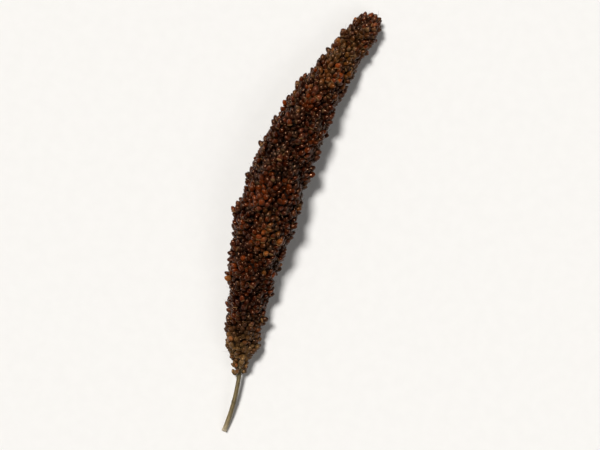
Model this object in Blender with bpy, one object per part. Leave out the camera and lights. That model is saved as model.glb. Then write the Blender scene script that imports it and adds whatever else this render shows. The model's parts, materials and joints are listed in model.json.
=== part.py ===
"""A dried foxtail millet seed head, picked with a short stalk and lying on its side.

Metres, +Z up. The head's length runs along Y, base towards -Y and tip towards +Y, and it lies on
the plane Z = 0 with its bounding box centred over the origin.
"""

import math

import bmesh
import bpy
import numpy as np
from mathutils import Vector
from mathutils.geometry import delaunay_2d_cdt

# The axis of the head: its length along the bend, and its heading from +Y towards +X
HEAD_LENGTH = 0.125
BASE_HEADING = math.radians(-14.0)
TIP_HEADING = math.radians(24.0)
BEND_POWER = 1.25
AXIS_STEPS = 500

# The outer radius at stations along the head, as (share of the length, radius)
RADIUS_STATIONS = (
    (0.00, 0.0061),
    (0.14, 0.0074),
    (0.26, 0.0096),
    (0.39, 0.0113),
    (0.52, 0.0107),
    (0.64, 0.0100),
    (0.75, 0.0085),
    (0.87, 0.0066),
    (1.00, 0.0050),
)
BASE_ROUNDING = 0.045
TIP_ROUNDING = 0.055
HEIGHT_SHARE = 0.94

# The seed clusters: domes on short side branches, in a spiral up the axis
CLUSTER_SPACING = 0.0078
CLUSTER_REACH = 0.0046
CLUSTER_STRETCH = 1.10
CLUSTER_DEPTH = 0.0026
CLUSTER_FULL_RADIUS = 0.0100
CLUSTER_UNEVEN = 0.0007
CLUSTER_SHIFT = 0.0016
GOLDEN_ANGLE = math.pi * (3.0 - math.sqrt(5.0))

# The grains: beads larger than life, in a spiral of even spacing, each a dome on its own cell
GRAIN_COUNT = 620
GRAIN_RISE = 0.00135
GRAIN_CROWN = 0.00045
GRAIN_UNEVEN = 0.00070
GRAIN_SHOULDER = 0.58
GRAIN_LEAN = 0.00025
GRAIN_JITTER = 0.00065
GRAIN_WIDTH = 0.0034
END_RELIEF = 0.35
RANDOM_SEED = 11

# The stalk, cut short below the head
STALK_LENGTH = 0.024
STALK_SUNK = 0.006
STALK_TOP_RADIUS = 0.00068
STALK_CUT_RADIUS = 0.00082
STALK_POINTS = 11
STALK_CLEARANCE = 0.0003
STALK_HEADING_TURN = math.radians(9.0)
STALK_DROOP_POWER = 1.6
SOCKET_SIDES = 12

# The lie of the head: the share of each thinning that lowers its axis, and how far it settles
AXIS_DROOP = 0.90
SETTLING = 0.0021
TABLE_GAP = 0.0001
CUTTER_MARGIN = 0.02
WELD_DISTANCE = 0.00001
SHARP_ANGLE = math.radians(70.0)


def through(stations, at):
    """A smooth curve through (position, value) stations, read at the given positions."""
    place, value = np.array(stations).T
    slope = np.gradient(value, place)
    left = np.clip(np.searchsorted(place, at, side="right") - 1, 0, len(place) - 2)
    span = place[left + 1] - place[left]
    t = (at - place[left]) / span
    return (
        (1 + 2 * t) * (1 - t) ** 2 * value[left]
        + t * (1 - t) ** 2 * span * slope[left]
        + t**2 * (3 - 2 * t) * value[left + 1]
        - t**2 * (1 - t) * span * slope[left + 1]
    )


def axis_heading(share):
    """The axis's heading from +Y towards +X, at a share of the length."""
    return BASE_HEADING + (TIP_HEADING - BASE_HEADING) * share**BEND_POWER


def body_radius(share):
    """The outer radius before the ends are rounded."""
    return through(RADIUS_STATIONS, share)


def outer_radius(share):
    """The outer radius, to the tips of the grains, with both ends rounded."""
    base = np.clip(1 - share / BASE_ROUNDING, 0, 1)
    tip = np.clip(1 - (1 - share) / TIP_ROUNDING, 0, 1)
    return body_radius(share) * np.sqrt((1 - base**2) * (1 - tip**2))


def relief_scale(radius):
    """How much of the full relief there is at this radius, less where the head is thin."""
    return np.minimum(END_RELIEF + (1.0 - END_RELIEF) * radius / CLUSTER_REACH, 1.0)


def axis_height(share):
    """The axis's height, which follows the radius, so that the whole underside meets the table."""
    widest = max(radius for _, radius in RADIUS_STATIONS)
    sunk = AXIS_DROOP * (widest - body_radius(share))
    return HEIGHT_SHARE * (widest - sunk) - SETTLING


def axis_points(shares):
    """Points on the head's axis, at these shares of its length."""
    fine = np.linspace(0, 1, AXIS_STEPS + 1)
    middle = axis_heading((fine[1:] + fine[:-1]) / 2)
    step = HEAD_LENGTH / AXIS_STEPS
    x = np.concatenate([[0], np.cumsum(np.sin(middle)) * step])
    y = np.concatenate([[0], np.cumsum(np.cos(middle)) * step])
    return np.stack(
        [np.interp(shares, fine, x), np.interp(shares, fine, y), axis_height(shares)], -1
    )


def grain_spiral(random):
    """The grains' places, even over the surface: share of the length, angle, and map radius.

    The map radius lays the surface out flat round the base without changing small shapes.
    """
    fine = np.linspace(0, 1, AXIS_STEPS + 1)
    radius = np.maximum(outer_radius(fine) - GRAIN_RISE * relief_scale(outer_radius(fine)), 0)
    middle = (radius[1:] + radius[:-1]) / 2
    step = np.hypot(np.diff(fine) * HEAD_LENGTH, np.diff(radius))
    outline = np.concatenate([[0], np.cumsum(step)])
    area = np.concatenate([[0], np.cumsum(step * middle)])
    unrolled = np.concatenate([[0], np.cumsum(step / middle)])
    order = (np.arange(GRAIN_COUNT) + 0.5) / GRAIN_COUNT
    along = np.interp(order * area[-1], area, outline)
    round_axis = np.maximum(np.interp(along, outline, radius), GRAIN_WIDTH)
    turns = np.arange(GRAIN_COUNT) * GOLDEN_ANGLE
    turns = turns + GRAIN_JITTER / round_axis * random.uniform(-1, 1, GRAIN_COUNT)
    along = along + GRAIN_JITTER * random.uniform(-0.5, 0.5, GRAIN_COUNT)
    along = np.clip(along, GRAIN_WIDTH / 3, outline[-1] - GRAIN_WIDTH / 3)
    spread = np.interp(along, outline, unrolled) - unrolled[-1] / 2
    return np.interp(along, outline, fine), turns, np.exp(spread)


def cluster_spiral(random):
    """The clusters' places: distance along the axis, angle round it, and rise of each crown."""
    along, turn, places = 0.0, 0.0, []
    while along < HEAD_LENGTH:
        radius = float(body_radius(along / HEAD_LENGTH))
        shift = CLUSTER_SHIFT * random.uniform(-1, 1, 2)
        crown = -CLUSTER_UNEVEN * random.random()
        places.append((along + shift[0], (turn + shift[1] / radius) % math.tau, crown))
        along += CLUSTER_SPACING**2 / (math.tau * radius)
        turn += GOLDEN_ANGLE
    return np.array(places)


def cluster_relief(clusters, along, turn, radius):
    """How far the surface lies below the outer radius, where domes meet in grooves."""
    apart = (turn - clusters[:, 1] + math.pi) % math.tau - math.pi
    far = np.hypot((along - clusters[:, 0]) / CLUSTER_STRETCH, radius * apart) / CLUSTER_REACH
    return max(float((clusters[:, 2] - CLUSTER_DEPTH * far**2).max()), -CLUSTER_DEPTH)


def surface_point(share, turn, radius):
    """The point at a share of the length, an angle round the axis and a distance from it."""
    heading = float(axis_heading(share))
    aside = np.array([-math.cos(heading), math.sin(heading), 0.0])
    above = np.array([0.0, 0.0, HEIGHT_SHARE])
    return axis_points(share) + radius * (math.cos(turn) * aside + math.sin(turn) * above)


def valley_point(share, turn, clusters):
    """The point between grains there, and the direction in which the surface faces."""
    radius = float(outer_radius(share))
    point = Vector(surface_point(share, turn, radius))
    before = max(share - 0.5 / AXIS_STEPS, 0.0)
    after = min(share + 0.5 / AXIS_STEPS, 1.0)
    forward = Vector(
        surface_point(after, turn, float(outer_radius(after)))
        - surface_point(before, turn, float(outer_radius(before)))
    )
    sideways = Vector(surface_point(share, turn + math.tau / AXIS_STEPS, radius)) - point
    outward = forward.cross(sideways).normalized()
    away = Vector(surface_point(share, turn, 1.0) - surface_point(share, turn, 0.0))
    if outward.dot(away) < 0:
        outward = -outward
    relief = cluster_relief(clusters, share * HEAD_LENGTH, turn, radius)
    relief *= min(radius / CLUSTER_FULL_RADIUS, 1.0)
    depth = relief - (GRAIN_RISE + GRAIN_CROWN) * float(relief_scale(radius))
    return point + outward * depth, outward


def net_of_grains(shares, turns, reach, clusters):
    """A closed net with a corner at each grain, and the outward direction at each."""
    flat = [Vector((r * math.cos(t), r * math.sin(t))) for r, t in zip(reach, turns)]
    _, _, triangles, sources, _, _ = delaunay_2d_cdt(flat, [], [], 0, 0.0)
    net = bmesh.new()
    outward = []
    for share, turn in zip(shares, turns):
        point, away = valley_point(float(share), float(turn), clusters)
        net.verts.new(point)
        outward.append(away * float(relief_scale(outer_radius(share))))
    net.verts.ensure_lookup_table()
    for corners in triangles:
        net.faces.new([net.verts[sources[corner][0]] for corner in corners])
    bmesh.ops.holes_fill(net, edges=[edge for edge in net.edges if edge.is_boundary])
    bmesh.ops.triangulate(net, faces=[face for face in net.faces if len(face.verts) > 3])
    bmesh.ops.recalc_face_normals(net, faces=net.faces)
    net.faces.index_update()
    net.verts.index_update()
    return net, outward


def faces_round(vertex):
    """The faces round a corner of a closed net, in order."""
    start = vertex.link_loops[0]
    loop = start
    faces = [loop.face]
    while True:
        loop = loop.link_loop_prev.link_loop_radial_next
        if loop == start:
            return faces
        faces.append(loop.face)


def grain_cells(net):
    """A mesh with one cell for each corner of the net, in the same order."""
    mesh = bmesh.new()
    middles = [mesh.verts.new(face.calc_center_median()) for face in net.faces]
    for vertex in net.verts:
        mesh.faces.new([middles[face.index] for face in faces_round(vertex)])
    bmesh.ops.recalc_face_normals(mesh, faces=mesh.faces)
    return mesh


def raise_grain(mesh, face, outward, random):
    """Lifts one cell into a grain: a shoulder all round, and a crown that leans to the tip."""
    rise = GRAIN_RISE - GRAIN_UNEVEN * random.random()
    lean = Vector((0.0, GRAIN_LEAN, 0.0)) * outward.length
    centre = face.calc_center_median()
    raised = bmesh.ops.extrude_discrete_faces(mesh, faces=[face])["faces"][0]
    for vertex in raised.verts:
        inner = centre + (vertex.co - centre) * GRAIN_SHOULDER
        vertex.co = inner + outward * rise + lean
    crown = bmesh.ops.poke(mesh, faces=[raised])["verts"][0]
    crown.co += outward * GRAIN_CROWN + lean


def new_object(name, mesh, collection):
    """A mesh object with this name, in this collection."""
    made = bpy.data.objects.new(name, mesh)
    collection.objects.link(made)
    return made


def make_seed_head(collection, material):
    """The head: seed clusters round the axis, covered in grains, as one closed surface."""
    random = np.random.default_rng(RANDOM_SEED)
    clusters = cluster_spiral(random)
    net, outward = net_of_grains(*grain_spiral(random), clusters)
    mesh = grain_cells(net)
    net.free()
    for face, away in zip(list(mesh.faces), outward):
        raise_grain(mesh, face, away, random)
    bmesh.ops.triangulate(mesh, faces=[face for face in mesh.faces if len(face.verts) > 3])
    bmesh.ops.recalc_face_normals(mesh, faces=mesh.faces)
    data = bpy.data.meshes.new("seed_head")
    mesh.to_mesh(data)
    mesh.free()
    data.shade_smooth()
    data.set_sharp_from_angle(angle=SHARP_ANGLE)
    data.materials.append(material)
    return new_object("seed_head", data, collection)


def base_direction():
    """The direction in which the axis enters the head at its base."""
    return Vector((math.sin(BASE_HEADING), math.cos(BASE_HEADING), 0.0))


def stalk_points():
    """The stalk's centre line: straight inside the head, then curving down to the table."""
    base = Vector(axis_points(0.0))
    inner = base + base_direction() * STALK_SUNK
    low = STALK_CUT_RADIUS + TABLE_GAP
    points = [inner]
    outside = STALK_POINTS - 2
    for step in range(outside + 1):
        t = step / outside
        heading = BASE_HEADING + STALK_HEADING_TURN * t
        away = Vector((-math.sin(heading), -math.cos(heading), 0.0)) * STALK_LENGTH * t
        drop = (base.z - low) * t**STALK_DROOP_POWER
        points.append(base + away - Vector((0.0, 0.0, drop)))
    return points


def make_stalk(collection, material):
    """The stalk: a slender tapered tube, a little thicker where it was cut."""
    curve = bpy.data.curves.new("stalk_curve", "CURVE")
    curve.dimensions = "3D"
    curve.bevel_depth = 1.0
    curve.bevel_resolution = 3
    curve.use_fill_caps = True
    spline = curve.splines.new("POLY")
    points = stalk_points()
    spline.points.add(len(points) - 1)
    for index, point in enumerate(points):
        share = max(index - 1, 0) / (len(points) - 2)
        spline.points[index].co = (*point, 1.0)
        spline.points[index].radius = (
            STALK_TOP_RADIUS + (STALK_CUT_RADIUS - STALK_TOP_RADIUS) * share
        )
    guide = bpy.data.objects.new("stalk_guide", curve)
    collection.objects.link(guide)
    graph = bpy.context.evaluated_depsgraph_get()
    data = bpy.data.meshes.new_from_object(guide.evaluated_get(graph))
    bpy.data.objects.remove(guide)
    mesh = bmesh.new()
    mesh.from_mesh(data)
    bmesh.ops.remove_doubles(mesh, verts=mesh.verts, dist=WELD_DISTANCE)
    mesh.to_mesh(data)
    mesh.free()
    data.name = "stalk"
    data.shade_smooth()
    data.materials.clear()
    data.materials.append(material)
    return new_object("stalk", data, collection)


def make_cutter(name, mesh, collection):
    """A helper shape that is taken away from the seed head."""
    cutter = new_object(name, mesh, collection)
    cutter.hide_render = True
    cutter.display_type = "WIRE"
    return cutter


def make_socket_cutter(collection):
    """A plain round hole for the stalk, up the axis from below the head's base."""
    depth = STALK_SUNK + STALK_CLEARANCE + BASE_ROUNDING * HEAD_LENGTH
    mesh = bmesh.new()
    bmesh.ops.create_cone(
        mesh,
        cap_ends=True,
        segments=SOCKET_SIDES,
        radius1=STALK_TOP_RADIUS + STALK_CLEARANCE,
        radius2=STALK_TOP_RADIUS + STALK_CLEARANCE,
        depth=depth,
    )
    data = bpy.data.meshes.new("stalk_socket")
    mesh.to_mesh(data)
    mesh.free()
    cutter = make_cutter("stalk_socket", data, collection)
    inner = Vector(axis_points(0.0)) + base_direction() * (STALK_SUNK + STALK_CLEARANCE)
    cutter.location = inner - base_direction() * (depth / 2)
    cutter.rotation_euler = base_direction().to_track_quat("Z", "Y").to_euler()
    return cutter


def make_table_cutter(collection):
    """A slab under Z = 0, which leaves the lowest grains with small flats to rest on."""
    mesh = bmesh.new()
    bmesh.ops.create_cube(mesh, size=1.0)
    side = HEAD_LENGTH + STALK_LENGTH + CUTTER_MARGIN
    bmesh.ops.scale(mesh, verts=mesh.verts, vec=(side, 2 * side, CUTTER_MARGIN))
    data = bpy.data.meshes.new("table")
    mesh.to_mesh(data)
    mesh.free()
    cutter = make_cutter("table", data, collection)
    cutter.location = (0.0, 0.0, -CUTTER_MARGIN / 2)
    return cutter


def cut(target, cutter):
    """Takes the cutter's shape away from the target."""
    modifier = target.modifiers.new(cutter.name, "BOOLEAN")
    modifier.operation = "DIFFERENCE"
    modifier.solver = "EXACT"
    modifier.object = cutter


def centre_over_origin(parts, helpers):
    """Moves everything sideways, so that the parts' bounding box is centred over the origin."""
    corners = np.array([vertex.co for part in parts for vertex in part.data.vertices])
    middle = (corners.min(0) + corners.max(0)) / 2
    for item in [*parts, *helpers]:
        item.location.x -= middle[0]
        item.location.y -= middle[1]


def make_material(name, colour, roughness):
    """A plain finish in the part's own colour."""
    material = bpy.data.materials.new(name)
    material.use_nodes = True
    shader = material.node_tree.nodes["Principled BSDF"]
    shader.inputs["Base Color"].default_value = (*colour, 1.0)
    shader.inputs["Roughness"].default_value = roughness
    shader.inputs["Metallic"].default_value = 0.0
    return material


def new_collection(name):
    """A collection of this name in the scene."""
    collection = bpy.data.collections.new(name)
    bpy.context.scene.collection.children.link(collection)
    return collection


def main():
    for old in list(bpy.data.objects):
        bpy.data.objects.remove(old)
    parts = new_collection("millet_seed_head")
    cutters = new_collection("cutters")
    seed_head = make_seed_head(parts, make_material("grain_hull", (0.105, 0.040, 0.018), 0.42))
    stalk = make_stalk(parts, make_material("dry_stalk", (0.300, 0.235, 0.110), 0.60))
    helpers = [make_socket_cutter(cutters), make_table_cutter(cutters)]
    for helper in helpers:
        cut(seed_head, helper)
    centre_over_origin([seed_head, stalk], helpers)


if __name__ == "__main__":
    main()
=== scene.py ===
"""The looks of a dried foxtail millet seed head, built round its packed frame.

The head lies on its side on a pale floor and the camera looks straight down on it. All sizes are
in metres. A place on the head is given by three values: its share of the head's length from base
to tip, its turn round the axis (0 at the left side seen from above, a quarter turn at the top),
and its depth under the surface of the seed clusters.
"""

import json
import math

import bmesh
import bpy
import numpy as np
from mathutils import Matrix, Vector, kdtree, noise

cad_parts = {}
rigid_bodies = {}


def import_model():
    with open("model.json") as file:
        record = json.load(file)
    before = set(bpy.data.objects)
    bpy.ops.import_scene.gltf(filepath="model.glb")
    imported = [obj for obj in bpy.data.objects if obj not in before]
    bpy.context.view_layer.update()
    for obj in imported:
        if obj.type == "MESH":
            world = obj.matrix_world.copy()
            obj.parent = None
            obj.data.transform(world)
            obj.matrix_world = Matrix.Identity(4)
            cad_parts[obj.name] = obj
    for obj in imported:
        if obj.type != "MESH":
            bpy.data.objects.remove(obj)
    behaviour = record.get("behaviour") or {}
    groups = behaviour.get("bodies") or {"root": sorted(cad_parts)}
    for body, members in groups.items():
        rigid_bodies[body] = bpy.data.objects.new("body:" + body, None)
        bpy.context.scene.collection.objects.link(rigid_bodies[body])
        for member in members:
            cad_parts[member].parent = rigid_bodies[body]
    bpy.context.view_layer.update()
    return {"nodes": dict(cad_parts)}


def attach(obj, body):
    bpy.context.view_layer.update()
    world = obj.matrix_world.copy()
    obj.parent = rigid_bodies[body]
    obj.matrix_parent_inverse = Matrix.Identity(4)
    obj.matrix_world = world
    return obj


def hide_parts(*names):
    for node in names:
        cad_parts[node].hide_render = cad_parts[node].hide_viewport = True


bl_info = {
    "name": "Millet Seed Head",
    "version": (1, 0, 0),
    "blender": (4, 5, 0),
    "location": "3D View > Sidebar > Millet",
    "description": "Builds the grains, husks, bristles and stalk of a dried millet seed head",
    "category": "Add Mesh",
}

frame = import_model()

# The form of the head, the same as that of its solids
HEAD_LENGTH = 0.125
BASE_HEADING = math.radians(-14.0)
TIP_HEADING = math.radians(24.0)
BEND_POWER = 1.25
AXIS_STEPS = 500
RADIUS_STATIONS = (
    (0.00, 0.0061),
    (0.14, 0.0074),
    (0.26, 0.0096),
    (0.39, 0.0113),
    (0.52, 0.0107),
    (0.64, 0.0100),
    (0.75, 0.0085),
    (0.87, 0.0066),
    (1.00, 0.0050),
)
BASE_ROUNDING = 0.045
TIP_ROUNDING = 0.055
HEIGHT_SHARE = 0.94
AXIS_DROOP = 0.90
SETTLING = 0.0021
CLUSTER_SPACING = 0.0078
CLUSTER_REACH = 0.0046
CLUSTER_STRETCH = 1.10
CLUSTER_DEPTH = 0.0026
CLUSTER_FULL_RADIUS = 0.0100
CLUSTER_UNEVEN = 0.0007
CLUSTER_SHIFT = 0.0016
CLUSTER_SEED = 11
END_RELIEF = 0.35
GOLDEN_ANGLE = math.pi * (3.0 - math.sqrt(5.0))

# The stalk's centre line, the same as that of its solid
STALK_LENGTH = 0.024
STALK_SUNK = 0.006
STALK_TOP_RADIUS = 0.00068
STALK_CUT_RADIUS = 0.00082
STALK_HEADING_TURN = math.radians(9.0)
STALK_DROOP_POWER = 1.6
TABLE_GAP = 0.0001

# The step over which slopes are measured, and the seeds of the random draws
SMALL_STEP = 0.0004
GRAIN_SEED = 21
TUFT_SEED = 55
BRISTLE_SEED = 33

# The layers of grains: how they are spread, how deep they sit and how they lean to the head's tip
OUTER_LAYER = {
    "spread": (0.00220, 0.0009, 7),
    "depth": 0.00105,
    "uneven": 0.00030,
    "groups": 0.00070,
    "lean": (0.25, 0.95),
    "looseness": 0.22,
}
INNER_LAYER = {
    "spread": (0.0022, 0.0020, 8),
    "depth": 0.0021,
    "uneven": 0.0003,
    "groups": 0.0,
    "lean": (0.1, 0.9),
    "looseness": 0.35,
}

# The bristles, spread the same way
BRISTLE_SPREAD = (0.0026, 0.0018, 2)
BRISTLE_LEAN = (0.7, 1.9)
BRISTLE_LOOSENESS = 0.3
BRISTLE_BEND = 0.22

# The core below the grains
CORE_DEPTH = 0.0026
CORE_INSET = 0.012
CORE_FLOOR_GAP = 0.0008
CORE_RINGS = 160
CORE_SEGMENTS = 64

# Where the grains are redder, more olive or more amber: share of the length, turn in degrees, reach
EMBER_PATCHES = (
    (0.44, 60.0, 0.0052),
    (0.46, 118.0, 0.0028),
    (0.34, 85.0, 0.0045),
    (0.25, 82.0, 0.0038),
    (0.24, 42.0, 0.0022),
    (0.60, 140.0, 0.0040),
    (0.80, 110.0, 0.0030),
    (0.71, 78.0, 0.0030),
    (0.30, 250.0, 0.0060),
    (0.65, 290.0, 0.0060),
)
OLIVE_PATCHES = (
    (0.86, 100.0, 0.0100),
    (0.34, 108.0, 0.0040),
    (0.04, 90.0, 0.0060),
    (0.50, 230.0, 0.0070),
    (0.85, 270.0, 0.0080),
)
AMBER_PATCHES = (
    (0.34, 88.0, 0.0085),
    (0.82, 95.0, 0.0095),
    (0.40, 240.0, 0.0120),
    (0.75, 300.0, 0.0090),
)
STRAW_REACH = 0.008

# Noise that scatters the colours and the small groups of grains: size of its features, seed
MAUVE_NOISE = (0.006, 1)
OLIVE_NOISE = (0.004, 2)
EMBER_NOISE = (0.003, 3)
GROUP_NOISE = (0.0026, 4)
STRAY_EMBERS = 0.07
STRAY_AMBERS = 0.012

# Painted light and shade on the grains: lighter on the crowns of the clusters, painted shade in the grooves,
# in sunk groups and on the inner layer
PAINTED_CROWN_LIGHT = 1.34
PAINTED_GROOVE_LIGHT = 0.40
PAINTED_GROUP_SHADE = 0.75
PAINTED_INNER_SHADE = 0.42

# One grain, a bristle and the scale, whose two sides each have a gap and a flare
GRAIN_SEGMENTS = 12
GRAIN_RINGS = 8
INNER_SEGMENTS = 9
INNER_RINGS = 6
GRAIN_WIDEST = 0.44
GRAIN_FRONT = 0.74
GRAIN_BASE = (0.0, 0.0, 0.0)
GRAIN_BEAK = (0.0, 0.04, 1.0)
HUSK_ROWS = 5
HUSK_COLUMNS = 6
HUSK_SPREAD = math.radians(74.0)
HUSK_REACH = 0.62
HUSK_OUTSIDE = (0.034, 0.060)
HUSK_INSIDE = (0.006, 0.050)
BRISTLE_STEPS = 5
GLOSS_TINT = (1.0, 0.54, 0.32)
DRY_TINT = (1.0, 0.85, 0.68)

# The loose tufts: nearest and farthest place below the head, and their branchlets
TUFT_PLACES = (0.0002, 0.0052)
TUFT_FIRST_TURN = 0.9
BRANCHLET_LENGTH = 0.0028
BRANCHLET_SHORTENING = 0.28
BRANCHLET_RADIUS = 0.00022

# The stalk's surface; each scar has its share of the length from the head, turn in degrees, height
STALK_RINGS = 150
STALK_SCARS = (
    (0.10, 70.0, 0.00016),
    (0.22, 200.0, 0.00012),
    (0.31, 110.0, 0.00014),
    (0.47, 30.0, 0.00010),
    (0.64, 140.0, 0.00009),
)
STALK_JOINTS = ((0.015, 0.22), (0.56, 0.10))
JOINT_REACH = 0.018
STAIN_REACH = 0.022
SCAR_REACH = 0.00045
SCAR_TURN = 0.45
SLIMMING = 0.93
CUT_FLARE = 0.07
FLARE_REACH = 0.02
CUT_SLANT = 0.00050
SLANT_REACH = 0.0020
FRESH_REACH = 0.0016
FIBRE_SHARE = 16
PITH_SHARES = (0.30, 0.62, 0.88)
PITH_INSETS = (0.00030, 0.00015, 0.0)
PITH_SHADES = (0.50, 0.75, 1.0)

# The stage
FLOOR_REACH = 4.0
KEY_DIRECTION = (0.42, -0.30, -1.0)
FILL_DIRECTION = (-0.75, 0.25, -0.8)
LIGHT_COLOUR = (1.0, 0.975, 0.94)
SKY_LEVELS = (0.05, 0.75)
LENS = 85.0
PICTURE_SHAPE = 600 / 450


class MilletGrains(bpy.types.PropertyGroup):
    """The hulled grains that cover the head."""

    outer_count: bpy.props.IntProperty(
        name="Outer grains", description="Grains in the layer that shows", default=1640, min=100
    )
    inner_count: bpy.props.IntProperty(
        name="Inner grains", description="Grains behind the gaps of the outer ones", default=1120, min=100
    )
    length: bpy.props.FloatProperty(
        name="Grain length", description="From the base to the beak", default=0.00250, unit="LENGTH"
    )
    width: bpy.props.FloatProperty(
        name="Grain width", description="Across the back", default=0.00186, unit="LENGTH"
    )
    thickness: bpy.props.FloatProperty(
        name="Grain thickness", description="From back to front", default=0.00168, unit="LENGTH"
    )
    hull_colour: bpy.props.FloatVectorProperty(
        name="Hull", description="Most grains", subtype="COLOR", default=(0.035, 0.0050, 0.0010)
    )
    deep_colour: bpy.props.FloatVectorProperty(
        name="Deep", description="The darkest grains", subtype="COLOR", default=(0.0080, 0.0013, 0.0004)
    )
    mauve_colour: bpy.props.FloatVectorProperty(
        name="Mauve", description="Dull mauve-brown grains", subtype="COLOR", default=(0.034, 0.0083, 0.0043)
    )
    ember_colour: bpy.props.FloatVectorProperty(
        name="Ember", description="Orange-red grains", subtype="COLOR", default=(0.150, 0.024, 0.0024)
    )
    olive_colour: bpy.props.FloatVectorProperty(
        name="Olive", description="Golden-olive grains", subtype="COLOR", default=(0.070, 0.029, 0.0048)
    )
    amber_colour: bpy.props.FloatVectorProperty(
        name="Amber", description="Single golden grains", subtype="COLOR", default=(0.140, 0.045, 0.0090)
    )
    straw_colour: bpy.props.FloatVectorProperty(
        name="Straw", description="Tan grains at the base", subtype="COLOR", default=(0.150, 0.085, 0.030)
    )
    gloss_roughness: bpy.props.FloatProperty(
        name="Glossy", description="Roughness of the glossiest hulls", default=0.12,
        min=0.0, max=1.0, subtype="FACTOR",
    )
    matte_roughness: bpy.props.FloatProperty(
        name="Matte", description="Roughness of the dullest hulls", default=0.40,
        min=0.0, max=1.0, subtype="FACTOR",
    )
    tuft_count: bpy.props.IntProperty(
        name="Loose tufts", description="Branchlets with a few grains below the head", default=11, min=0
    )


class MilletHusks(bpy.types.PropertyGroup):
    """The papery scales and the bristles round the grains."""

    husk_colour: bpy.props.FloatVectorProperty(
        name="Husk", description="Papery scales", subtype="COLOR", default=(0.200, 0.104, 0.038)
    )
    husk_dark: bpy.props.FloatVectorProperty(
        name="Dark husk", description="Stained scales", subtype="COLOR", default=(0.038, 0.0100, 0.0034)
    )
    bristle_count: bpy.props.IntProperty(
        name="Bristles", description="Bristles that stand past the grains", default=1100, min=0
    )
    bristle_length: bpy.props.FloatProperty(
        name="Bristle length", description="Of a typical bristle", default=0.0036, unit="LENGTH"
    )
    bristle_radius: bpy.props.FloatProperty(
        name="Bristle radius", description="At the root", default=0.000055, unit="LENGTH"
    )
    bristle_colour: bpy.props.FloatVectorProperty(
        name="Bristle", description="Dried bristles", subtype="COLOR", default=(0.130, 0.070, 0.036)
    )


class MilletStalk(bpy.types.PropertyGroup):
    """The stalk, the core and the short side branches."""

    straw_colour: bpy.props.FloatVectorProperty(
        name="Straw", description="The dry stalk", subtype="COLOR", default=(0.240, 0.180, 0.088)
    )
    stain_colour: bpy.props.FloatVectorProperty(
        name="Stain", description="Olive streaks", subtype="COLOR", default=(0.078, 0.062, 0.026)
    )
    pith_colour: bpy.props.FloatVectorProperty(
        name="Pith", description="The pale cut end", subtype="COLOR", default=(0.600, 0.510, 0.360)
    )
    # The core's colour is painted shade: near-black, as the gaps between the grains look in shade
    painted_core_shade: bpy.props.FloatVectorProperty(
        name="Core", description="Deep between the grains", subtype="COLOR", default=(0.010, 0.003, 0.0015)
    )
    segments: bpy.props.IntProperty(
        name="Segments", description="Sides of the stalk", default=44, min=8
    )


class MilletStage(bpy.types.PropertyGroup):
    """The floor, the light and the camera."""

    floor_colour: bpy.props.FloatVectorProperty(
        name="Floor", description="The pale floor", subtype="COLOR", default=(0.86, 0.86, 0.855)
    )
    key_strength: bpy.props.FloatProperty(
        name="Key light", description="Strength of the soft key light", default=3.35, min=0.0
    )
    key_softness: bpy.props.FloatProperty(
        name="Key softness", description="How wide it looks", default=math.radians(15.0), subtype="ANGLE"
    )
    fill_strength: bpy.props.FloatProperty(
        name="Fill light", description="Strength of the light into the shadow", default=0.40, min=0.0
    )
    fill_softness: bpy.props.FloatProperty(
        name="Fill softness", description="How wide it looks", default=math.radians(35.0), subtype="ANGLE"
    )
    horizon_light: bpy.props.FloatProperty(
        name="Side light", description="Brightness round about near the floor", default=0.11, min=0.0
    )
    zenith_light: bpy.props.FloatProperty(
        name="Top light", description="Brightness overhead", default=0.08, min=0.0
    )
    lean: bpy.props.FloatProperty(
        name="Lean", description="How far the head leans right", default=math.radians(18.8), subtype="ANGLE"
    )
    fill: bpy.props.FloatProperty(
        name="Fill", description="Share of the picture's height that the object takes",
        default=0.92, min=0.1, max=1.0,
    )


# The form of the head


def axis_heading(share):
    """The axis's heading from +Y towards +X, at a share of the length."""
    return BASE_HEADING + (TIP_HEADING - BASE_HEADING) * share**BEND_POWER


def body_radius(share):
    """The outer radius before the ends are rounded, on a smooth curve through its stations."""
    place, value = np.array(RADIUS_STATIONS).T
    slope = np.gradient(value, place)
    left = np.clip(np.searchsorted(place, share, side="right") - 1, 0, len(place) - 2)
    span = place[left + 1] - place[left]
    t = (share - place[left]) / span
    return (
        (1 + 2 * t) * (1 - t) ** 2 * value[left]
        + t * (1 - t) ** 2 * span * slope[left]
        + t**2 * (3 - 2 * t) * value[left + 1]
        - t**2 * (1 - t) * span * slope[left + 1]
    )


def outer_radius(share):
    """The outer radius, to the tips of the grains, with both ends rounded."""
    base = np.clip(1 - share / BASE_ROUNDING, 0, 1)
    tip = np.clip(1 - (1 - share) / TIP_ROUNDING, 0, 1)
    return body_radius(share) * np.sqrt((1 - base**2) * (1 - tip**2))


def relief_scale(radius):
    """How much of the full relief there is at this radius, less where the head is thin."""
    return np.minimum(END_RELIEF + (1.0 - END_RELIEF) * radius / CLUSTER_REACH, 1.0)


def axis_height(share):
    """The axis's height, which follows the radius, so that the whole underside meets the floor."""
    widest = max(radius for _, radius in RADIUS_STATIONS)
    sunk = AXIS_DROOP * (widest - body_radius(share))
    return HEIGHT_SHARE * (widest - sunk) - SETTLING


def free_axis(shares):
    """Points on the head's axis, with the base over the origin."""
    fine = np.linspace(0, 1, AXIS_STEPS + 1)
    middle = axis_heading((fine[1:] + fine[:-1]) / 2)
    step = HEAD_LENGTH / AXIS_STEPS
    x = np.concatenate([[0], np.cumsum(np.sin(middle)) * step])
    y = np.concatenate([[0], np.cumsum(np.cos(middle)) * step])
    across = np.interp(shares, fine, x)
    along = np.interp(shares, fine, y)
    return np.stack([across, along, axis_height(shares)], -1)


def base_direction():
    """The direction in which the axis enters the head at its base."""
    return np.array([math.sin(BASE_HEADING), math.cos(BASE_HEADING), 0.0])


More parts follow.
